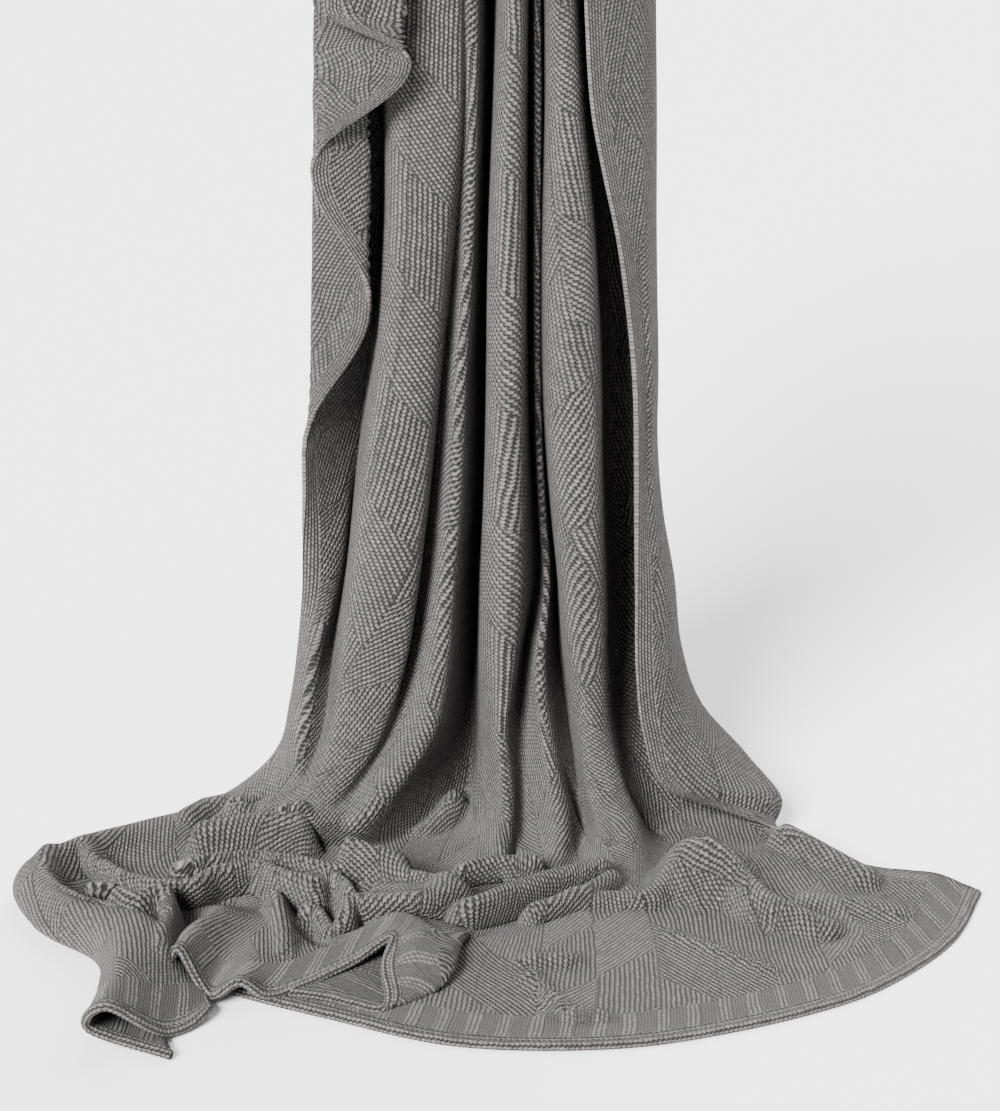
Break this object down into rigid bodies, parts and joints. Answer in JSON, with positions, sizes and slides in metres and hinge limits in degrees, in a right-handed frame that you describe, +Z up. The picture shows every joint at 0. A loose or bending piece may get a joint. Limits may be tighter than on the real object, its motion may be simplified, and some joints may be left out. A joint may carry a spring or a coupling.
{
  "type": "knit blanket",
  "caption": "Chunky ribbed knit throw hung by its gathered top edge, falling in deep uneven folds and pooling on the floor with a long curved hem.",
  "frame": {"origin": "middle of the gathered top edge, 1.2 m above the floor on which the lower part lies", "axes": "+Z up along the hanging column, +X to the right and -Y to the front, where the cloth spreads on the floor"},
  "size_m": [0.7494, 0.5272, 1.1997],
  "materials": {
    "knit": "matt warm grey rib knit"
  },
  "bodies": {
    "root": {"blanket": "knit"}
  },
  "joints": []
}
